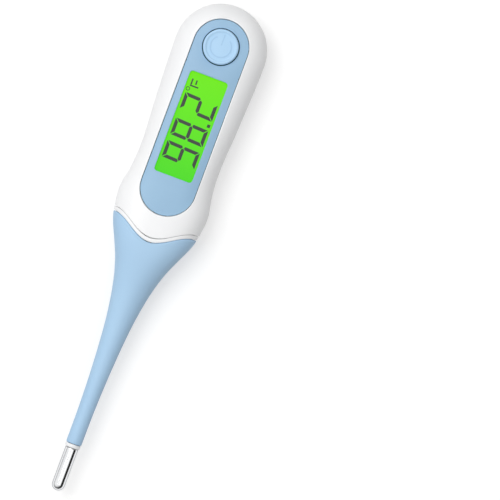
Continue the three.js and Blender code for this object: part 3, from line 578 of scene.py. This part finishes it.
CAD_MATERIALS = {
    "white_shell": WHITE,
    "panel_blue": PANEL,
    "button_blue": BUTTON,
    "stem_blue": STEM,
    "clear_window": CLEAR,
    "lcd_green": GLOW,
    "milky": MILKY,
    "black_rubber": BLACK_RUBBER,
    "silicone": SILICONE,
    "board_green": BOARD,
    "black_plastic": BLACK,
    "ceramic": CERAMIC,
    "epoxy": EPOXY,
    "polished_steel": PLATED,
    "spring_steel": PLATED,
    "brass": BRASS,
}


def dress_cad_nodes():
    for part in frame["record"]["subparts"]:
        node = frame["nodes"][part["node"]]
        node.data.materials.clear()
        node.data.materials.append(CAD_MATERIALS[part["material_slot"]])


# ---------- housings ----------


def body_angles(count=520):
    return np.linspace(0, 2 * np.pi, count, endpoint=False)


def front_housing():
    centre = (PANEL_START + PANEL_END) / 2
    angles = body_angles()
    inner = reach(lambda s, y: in_stadium(s, y, PANEL_START, PANEL_END, PANEL_RADIUS), centre, angles)
    outer = reach(in_body, centre, angles)
    lowest = AXIS_HEIGHT + SEAM_GAP / 2

    def skin(s, y):
        return np.maximum(front_height(s, y), lowest)

    edge = plan_row(centre, inner, angles, skin)
    rows = [lowered(edge, OPENING_DEPTH), lowered(edge, OPENING_EDGE)]
    for angle in np.radians([20, 45, 70, 90]):
        radius = inner + OPENING_EDGE * (1 - math.cos(angle))
        fall = OPENING_EDGE * (1 - math.sin(angle))
        rows.append(lowered(plan_row(centre, radius, angles, skin), fall))
    start = inner + OPENING_EDGE
    for t in np.sin(np.linspace(0, 1, 40)[1:] * np.pi / 2):
        rows.append(plan_row(centre, start + (outer - start) * t, angles, skin))
    rows.append(towards_axis(rows[-1], SHELL_RETURN))
    piece = add_mesh("front_shell", rows, WHITE, "case", ["front_housing"])
    return sharpen(piece)


def rear_housing():
    centre = CELL_STATION
    angles = body_angles()
    inner = reach(in_opening, centre, angles)
    outer = reach(in_body, centre, angles)
    highest = AXIS_HEIGHT - SEAM_GAP / 2

    def skin(s, y):
        return np.minimum(rear_height(s, y), highest)

    edge = plan_row(centre, inner, angles, skin)
    bay = plan_row(centre, np.full(len(angles), BAY_RADIUS), angles, lambda s, y: 0 * s + BAY_FLOOR)
    bevel_in = 0.4 * REAR_EDGE
    bevel_up = 0.3 * REAR_EDGE
    rows = [lowered(bay, -BAY_WALL), bay, lowered(edge, -COVER_LEDGE), lowered(edge, -REAR_EDGE)]
    rows.append(plan_row(centre, inner + bevel_in, angles, lambda s, y: skin(s, y) + bevel_up))
    start = inner + REAR_EDGE
    for t in np.sin(np.linspace(0, 1, 40) * np.pi / 2):
        rows.append(plan_row(centre, start + (outer - start) * t, angles, skin))
    rows.append(towards_axis(rows[-1], SHELL_RETURN))
    piece = add_mesh("rear_shell", rows, WHITE, "case", ["rear_housing"], flip=True)
    return sharpen(piece)


# ---------- panel, window, display ----------


def panel_height(s, y):
    from_button = np.hypot(s - BUTTON_STATION, y) - BUTTON_RADIUS
    dish = DISH_DEPTH * np.exp(-((np.maximum(from_button, 0) / DISH_WIDTH) ** 2))
    return front_height(s, y, PANEL_RECESS) - dish


def panel_half(name, centre, hole, region, replaced=()):
    angles = body_angles(360)
    inner = reach(hole, centre, angles)
    outer = reach(region, centre, angles)
    edge = plan_row(centre, inner, angles, panel_height)
    bevel = PANEL_EDGE / 3
    rows = [lowered(edge, PANEL_THICKNESS), lowered(edge, PANEL_EDGE)]
    rows.append(lowered(plan_row(centre, inner + bevel, angles, panel_height), bevel))
    start = inner + PANEL_EDGE
    for t in np.linspace(0, 1, 26):
        rows.append(plan_row(centre, start + (outer - start) * t, angles, panel_height))
    rows.append(lowered(rows[-1], PANEL_THICKNESS))
    piece = add_mesh(name, rows, PANEL, "case", replaced)
    return sharpen(piece)


def display_panel():
    def outline(s, y):
        return in_stadium(s, y, PANEL_START + SNUG, PANEL_END - SNUG, PANEL_RADIUS - SNUG)

    panel_half(
        "panel_window_end",
        (WINDOW_START + WINDOW_END) / 2,
        lambda s, y: in_rounded(s, y, WINDOW_START, WINDOW_END, WINDOW_HALF, WINDOW_CORNER),
        lambda s, y: outline(s, y) & (s < PANEL_SPLIT),
        ["display_panel"],
    )
    panel_half(
        "panel_button_end",
        BUTTON_STATION,
        lambda s, y: np.hypot(s - BUTTON_STATION, y) < BUTTON_RADIUS + BUTTON_GAP,
        lambda s, y: outline(s, y) & (s > PANEL_SPLIT),
    )


def window():
    centre = (WINDOW_START + WINDOW_END) / 2
    angles = body_angles(240)
    start = WINDOW_START + LENS_GAP
    end = WINDOW_END - LENS_GAP
    half = WINDOW_HALF - LENS_GAP
    corner = WINDOW_CORNER - LENS_GAP

    def pane(s, y):
        return in_rounded(s, y, start, end, half, corner)

    def skin(s, y):
        return front_height(s, y, LENS_INSET)

    outer = reach(pane, centre, angles)
    rows = [plan_row(centre, outer * t, angles, skin) for t in np.linspace(0.001, 1, 16)]
    rows.append(lowered(rows[-1], LENS_THICKNESS))
    piece = add_mesh("window_pane", rows, CLEAR, "case", ["display_window"])
    return sharpen(piece)


DIGIT_HALF_WIDTH = 2.42
DIGIT_HALF_HEIGHT = 4.79
STROKE = 0.95
NOTCH = 0.1
SLANT = 0.047
SIDE_CUT = 0.1  # what an upright bar leaves free at its outer end
MIDDLE_CUT = 0.35  # and at its edge beside the middle bar
POINT_CUT = 0.06
DIGITS = [(98.43, "abcdfg"), (104.95, "abcdefg"), (112.4, "abdeg")]
INK_THICKNESS = 0.04
INK_LIFT = 0.01

# Bars as start and end station, then lower and upper edge.
DECIMAL_POINT = (107.9, 108.8, -4.8, -3.95)
LETTER_F = [(116.95, 117.35, 1.9, 4.35), (117.4, 119.1, 3.95, 4.35), (117.75, 119.0, 2.7, 3.1)]
DEGREE_STATION = 116.1
DEGREE_ACROSS = 4.55
DEGREE_RADIUS = 0.48
DEGREE_STROKE = 0.2


def segment(letter):
    """Corners of one bar of a seven-bar digit, from its middle."""
    w, h, t, n = DIGIT_HALF_WIDTH, DIGIT_HALF_HEIGHT, STROKE, NOTCH
    if letter in "ad":
        bar = [(-w + n, h), (w - n, h), (w - t - n, h - t), (-w + t + n, h - t)]
        flip_y = letter == "d"
        return [(u, -v if flip_y else v) for u, v in bar]
    if letter == "g":
        half = t / 2
        end = w - half - n
        flat = end - half
        return [(-end, 0), (-flat, half), (flat, half), (end, 0), (flat, -half), (-flat, -half)]
    bar = [(w, h - n - SIDE_CUT), (w, n + MIDDLE_CUT), (w - t / 2, n + POINT_CUT)]
    bar += [(w - t, t / 2 + n), (w - t, h - t - n - SIDE_CUT)]
    side = -1 if letter in "ef" else 1
    down = -1 if letter in "ce" else 1
    return [(side * u, down * v) for u, v in bar]


def plate(name, shapes, z, material, body, thickness=INK_THICKNESS):
    """Thin flat shapes, each a ring of corners in stations and y, standing on a height."""
    points, faces = [], []
    for shape in shapes:
        base = len(points)
        count = len(shape)
        for level in (z, z + thickness):
            points += [((s - LENGTH / 2) * MM, y * MM, level * MM) for s, y in shape]
        faces.append([base + count + i for i in range(count)])
        for i in range(count):
            j = (i + 1) % count
            faces.append([base + i, base + j, base + count + j, base + count + i])
    mesh = bpy.data.meshes.new(name)
    mesh.from_pydata(points, [], faces)
    mesh.materials.append(material)
    mesh.update()
    thing = bpy.data.objects.new(name, mesh)
    bpy.context.scene.collection.objects.link(thing)
    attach(thing, body)
    return thing


def arc_shapes(station, y, radius, stroke, start, end, pieces):
    """A curved stroke as short four-sided shapes."""
    inner = radius - stroke / 2
    outer = radius + stroke / 2
    shapes = []
    for i in range(pieces):
        a = start + (end - start) * i / pieces
        b = start + (end - start) * (i + 1) / pieces
        ring = [(inner, a), (outer, a), (outer, b), (inner, b)]
        shapes.append([(station + r * math.cos(q), y + r * math.sin(q)) for r, q in ring])
    return shapes


def bar_shape(s0, s1, y0, y1):
    return [(s0, y0), (s1, y0), (s1, y1), (s0, y1)]


def display_digits():
    shapes = []
    for middle, letters in DIGITS:
        for letter in letters:
            shapes.append([(middle + u + SLANT * v, v) for u, v in segment(letter)])
    shapes.append(bar_shape(*DECIMAL_POINT))
    full_turn = 2 * math.pi
    shapes += arc_shapes(DEGREE_STATION, DEGREE_ACROSS, DEGREE_RADIUS, DEGREE_STROKE, 0, full_turn, 24)
    for bar in LETTER_F:
        shapes.append(bar_shape(*bar))
    piece = plate("display_digits", shapes, LCD_TOP + INK_LIFT, INK, "case")


# ---------- button ----------


def power_button():
    bottom = BUTTON_TOP - BUTTON_CAP
    rim = BUTTON_RADIUS
    disc = BUTTON_RADIUS - BUTTON_RING
    floor = BUTTON_TOP - BUTTON_DISC_DEPTH
    profile = [(BUTTON_NECK, bottom - BUTTON_NECK_DEPTH), (BUTTON_NECK, bottom), (rim, bottom)]
    for angle in np.radians(np.linspace(0, 90, 8)):
        radius = rim - BUTTON_FILLET * (1 - math.cos(angle))
        profile.append((radius, BUTTON_TOP - BUTTON_FILLET * (1 - math.sin(angle))))
    # The step from the ring down to the disc, then the disc's slight crown.
    profile += [(disc + 2 * DISC_STEP, BUTTON_TOP - 0.01), (disc + DISC_STEP, BUTTON_TOP - 0.06)]
    profile += [(disc, floor + 0.02), (disc - DISC_STEP, floor - 0.02)]
    profile += [(disc * 0.6, floor + 0.06), (disc * 0.3, floor + 0.1), (0.01, floor + 0.11)]
    rows = turned_rows(profile, BUTTON_STATION)
    piece = add_mesh("button_cap", rows, BUTTON, "button", ["power_button"], flip=True)
    sharpen(piece, 50)
    last = 2 * math.pi - POWER_OPENING
    shapes = arc_shapes(BUTTON_STATION, 0, POWER_RADIUS, POWER_STROKE, POWER_OPENING, last, 40)
    start = BUTTON_STATION + POWER_BAR_START
    end = BUTTON_STATION + POWER_BAR_END
    shapes.append(bar_shape(start, end, -POWER_STROKE / 2, POWER_STROKE / 2))
    # The power symbol sits almost flush with the disc; its darker blue is painted shade standing in for its
    # relief.
    mark = plate("power_mark", shapes, floor - POWER_SINK, SYMBOL_PAINTED_SHADE, "button", POWER_THICKNESS)


# ---------- neck and stem ----------


def ring_angles():
    return np.linspace(0, 2 * np.pi, AROUND, endpoint=False)


def neck_band():
    angles = ring_angles()
    low = seam_station(angles, -SEAM_GAP - BAND_WIDTH)
    high = seam_station(angles, -SEAM_GAP)
    rows = [towards_axis(section(low, angles), SHELL_RETURN)]
    for t in (0, 0.12, 0.3, 0.5, 0.7, 0.88, 1):
        row = section(low + (high - low) * t, angles)
        rows.append(towards_axis(row, BAND_ROUND * abs(2 * t - 1) ** 6))
    for rise, depth in ((0, BAND_RETURN), (0, TONGUE_DEPTH), (TONGUE, TONGUE_DEPTH)):
        rows.append(towards_axis(section(high + rise, angles), depth))
    piece = add_mesh("neck_band", rows, WHITE, "case", ["neck_insert"])
    return sharpen(piece)


def stem_skin(name, start, end, steps):
    """The stem's skin between two stations, or up to the neck seam where end is None."""
    angles = ring_angles()
    if end is None:
        top = seam_station(angles, -SEAM_GAP - BAND_WIDTH - SNUG)
    else:
        top = np.full(AROUND, float(end))
    rows = [section(start + (top - start) * t, angles) for t in np.linspace(0, 1, steps)]
    if end is None:
        rows[-1] = towards_axis(rows[-1], STEM_EDGE)
        rows.insert(-1, section(top - STEM_EDGE_LENGTH, angles))
        rows.append(towards_axis(rows[-1], SHELL_RETURN))
    return add_mesh(name, rows, STEM, None)


def bend_with(strip, i):
    """Finds the two bodies round joint i and the strip's ends beside it, then bakes the strip's place into
    its mesh; nothing ties the strip to either body.
    """
    pair = BODIES[i : i + 2]
    ends = []
    for side in (1, -1):
        station = JOINTS[i] + side * HALF_PITCH
        ends.append(((station - LENGTH / 2) * MM, 0, AXIS_HEIGHT * MM))
    if i % 2:
        # A lift joint names its front body first.
        pair.reverse()
        ends.reverse()
    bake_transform(strip)


def stem():
    base = stem_skin("stem_base_skin", JOINTS[0] + HALF_PITCH, None, 60)
    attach(base, "case")
    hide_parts("stem_base")
    for i, joint in enumerate(JOINTS):
        strip = stem_skin(f"stem_skin_{i + 1:02d}", joint - HALF_PITCH, joint + HALF_PITCH, 10)
        bend_with(strip, i)
        if BODIES[i + 1] != "tip":
            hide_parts(f"stem_link_{i + 1:02d}")
    tip_start = JOINTS[-1] - HALF_PITCH
    angles = ring_angles()
    stations = np.linspace(tip_start, STEM_END + 0.35, 6)
    rows = [section(np.full(AROUND, s), angles) for s in stations]
    # The rounded end, as the room left before the collar and the depth under the skin.
    for room, depth in ((0.2, 0.06), (0.12, 0.25), (0.12, 0.7)):
        rows.append(towards_axis(section(np.full(AROUND, STEM_END + room), angles), depth))
    tip = add_mesh("stem_tip_skin", rows, STEM, "tip", ["stem_tip"], flip=True)


def lead_run(name, side, start, end, steps):
    """A stretch of thermistor lead between two stations."""
    stations, spread, rise = zip(*LEAD_PATH)
    angles = np.linspace(0, 2 * np.pi, 12, endpoint=False)
    rows = []
    for s in np.linspace(start, end, steps):
        y = side * np.interp(s, stations, spread) + LEAD_RADIUS * np.cos(angles)
        z = AXIS_HEIGHT + np.interp(s, stations, rise) + LEAD_RADIUS * np.sin(angles)
        rows.append(np.stack([0 * angles + s, y, z], -1))
    run = add_mesh(name, rows, BRASS, None)
    return run


def leads():
    for suffix, side in (("a", 1), ("b", -1)):
        fixed = lead_run(f"lead_{suffix}_case", side, JOINTS[0] + HALF_PITCH, LEAD_PATH[-1][0], 24)
        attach(fixed, "case")
        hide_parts(f"thermistor_lead_{suffix}")
        for i, joint in enumerate(JOINTS):
            name = f"lead_{suffix}_{i + 1:02d}"
            run = lead_run(name, side, joint - HALF_PITCH, joint + HALF_PITCH, 5)
            bend_with(run, i)
        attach(lead_run(f"lead_{suffix}_tip", side, LEAD_START, JOINTS[-1] - HALF_PITCH, 6), "tip")


def probe():
    full = COLLAR_RADIUS
    collar = [(CAP_NECK + 0.1, STEM_END), (full - 0.17, STEM_END)]
    collar += [(full - 0.04, STEM_END - 0.06), (full, STEM_END - 0.2)]
    collar += [(full, COLLAR_START + 0.35), (full - 0.07, COLLAR_START + 0.12)]
    collar += [(full - 0.22, COLLAR_START), (CAP_NECK, COLLAR_START)]
    ring = add_mesh("probe_ring", axial_rows(collar), WHITE, "tip", ["probe_collar"], flip=True)
    sharpen(ring, 60)
    cap_end = COLLAR_START - CAP_GAP
    profile = [(CAP_NECK, cap_end), (CAP_RADIUS - 0.08, cap_end), (CAP_RADIUS, cap_end - 0.1)]
    for s in np.linspace(cap_end - 0.4, CAP_RADIUS, 8):
        profile.append((CAP_RADIUS, s))
    for angle in np.radians(np.linspace(0, 89, 16)[1:]):
        profile.append((CAP_RADIUS * math.cos(angle), CAP_RADIUS * (1 - math.sin(angle))))
    cap = add_mesh("probe_tip", axial_rows(profile), STEEL, "tip", ["probe_cap"], flip=True)
    sharpen(cap, 60)


# ---------- stage, light and camera ----------

PICTURE_UP = np.array([math.cos(LEAN), math.sin(LEAN), 0])
PICTURE_RIGHT = np.array([math.sin(LEAN), -math.cos(LEAN), 0])
UP = np.array([0, 0, 1])
FLOOR_HALF = 3.0  # in metres, as is the next
FLOOR_DROP = 0.0001
FLOOR_GREY = (0.62, 0.62, 0.62, 1)
FLOOR_LIFT = 0.45  # what brings the floor to white where it is seen


def seen_rays(nodes, links, *kinds):
    """1 on camera rays and on the other kinds of ray that show the background."""
    ray = nodes.new("ShaderNodeLightPath")
    total = ray.outputs["Is Camera Ray"]
    for kind in kinds:
        larger = nodes.new("ShaderNodeMath")
        larger.operation = "MAXIMUM"
        links.new(total, larger.inputs[0])
        links.new(ray.outputs[kind], larger.inputs[1])
        total = larger.outputs["Value"]
    return total


def stage_floor():
    mesh = bpy.data.meshes.new("floor")
    corners = [(x * FLOOR_HALF, y * FLOOR_HALF, 0) for x, y in ((-1, -1), (1, -1), (1, 1), (-1, 1))]
    mesh.from_pydata(corners, [], [(0, 1, 2, 3)])
    material, nodes, links, shader = new_material("floor_paper")
    shader.inputs["Base Color"].default_value = FLOOR_GREY
    shader.inputs["Roughness"].default_value = 0.9
    shader.inputs["Specular IOR Level"].default_value = 0.1
    shader.inputs["Emission Color"].default_value = (1, 1, 1, 1)
    lift = nodes.new("ShaderNodeMath")
    lift.operation = "MULTIPLY"
    lift.inputs[1].default_value = FLOOR_LIFT
    links.new(seen_rays(nodes, links, "Is Glossy Ray", "Is Transmission Ray"), lift.inputs[0])
    links.new(lift.outputs["Value"], shader.inputs["Emission Strength"])
    mesh.materials.append(material)
    floor = bpy.data.objects.new("floor", mesh)
    floor.location.z = -FLOOR_DROP
    bpy.context.scene.collection.objects.link(floor)


def white_world():
    """White where it is seen; a soft gradient on the object, and a stronger one in its reflections."""
    world = bpy.data.worlds.new("studio")
    bpy.context.scene.world = world
    world.use_nodes = True
    nodes = world.node_tree.nodes
    links = world.node_tree.links
    background = nodes["Background"]
    background.inputs["Color"].default_value = (1, 1, 1, 1)
    place = nodes.new("ShaderNodeTexCoord")
    lit_side = nodes.new("ShaderNodeVectorMath")
    lit_side.operation = "DOT_PRODUCT"
    side = -0.4 * PICTURE_RIGHT + 0.2 * PICTURE_UP + 0.9 * UP
    lit_side.inputs[1].default_value = (side / np.linalg.norm(side)).tolist()
    links.new(place.outputs["Generated"], lit_side.inputs[0])
    soft = nodes.new("ShaderNodeMapRange")
    soft.interpolation_type = "SMOOTHSTEP"
    soft.inputs["From Min"].default_value = -0.3
    soft.inputs["From Max"].default_value = 0.95
    soft.inputs["To Min"].default_value = 0.2
    soft.inputs["To Max"].default_value = 0.78
    links.new(lit_side.outputs["Value"], soft.inputs["Value"])
    mirrored = nodes.new("ShaderNodeMapRange")
    mirrored.inputs["From Min"].default_value = 0.2
    mirrored.inputs["From Max"].default_value = 0.85
    mirrored.inputs["To Min"].default_value = 0.03
    links.new(lit_side.outputs["Value"], mirrored.inputs["Value"])
    ray = nodes.new("ShaderNodeLightPath")
    strength = nodes.new("ShaderNodeMix")
    links.new(ray.outputs["Is Glossy Ray"], strength.inputs["Factor"])
    links.new(soft.outputs["Result"], strength.inputs["A"])
    links.new(mirrored.outputs["Result"], strength.inputs["B"])
    seen = nodes.new("ShaderNodeMix")
    links.new(seen_rays(nodes, links, "Is Transmission Ray"), seen.inputs["Factor"])
    links.new(strength.outputs["Result"], seen.inputs["A"])
    seen.inputs["B"].default_value = 1
    links.new(seen.outputs["Result"], background.inputs["Strength"])


def lamp(name, towards, distance, size, power):
    """A square soft lamp; towards is its direction in picture right, picture up and +Z."""
    direction = towards[0] * PICTURE_RIGHT + towards[1] * PICTURE_UP + towards[2] * UP
    direction = direction / np.linalg.norm(direction)
    light = bpy.data.lights.new(name, "AREA")
    light.shape = "SQUARE"
    light.size = size
    light.energy = power
    thing = bpy.data.objects.new(name, light)
    bpy.context.scene.collection.objects.link(thing)
    aim = Vector(direction.tolist())
    thing.location = aim * distance
    thing.rotation_euler = aim.to_track_quat("Z", "Y").to_euler()


def lights():
    lamp("key", (-0.3, 0.3, 1.0), 0.7, 0.4, 1.95)
    lamp("fill", (0.6, -0.3, 1.3), 0.8, 0.5, 0.5)


def camera():
    aim = AIM_RIGHT * PICTURE_RIGHT - AIM_DOWN * PICTURE_UP
    distance = VIEW_WIDTH * CAMERA_LENS / SENSOR
    place = aim + np.array([0, 0, AXIS_HEIGHT + distance])
    data = bpy.data.cameras.new("camera")
    data.lens = CAMERA_LENS
    data.sensor_width = SENSOR
    thing = bpy.data.objects.new("camera", data)
    columns = np.stack([PICTURE_RIGHT, PICTURE_UP, UP, place * MM], 1)
    thing.matrix_world = Matrix([*columns.tolist(), [0, 0, 0, 1]])
    bpy.context.scene.collection.objects.link(thing)
    bpy.context.scene.camera = thing


dress_cad_nodes()
front_housing()
rear_housing()
display_panel()
window()
display_digits()
power_button()
neck_band()
stem()
leads()
probe()
stage_floor()
white_world()
lights()
camera()
bpy.context.scene.view_settings.view_transform = "Standard"
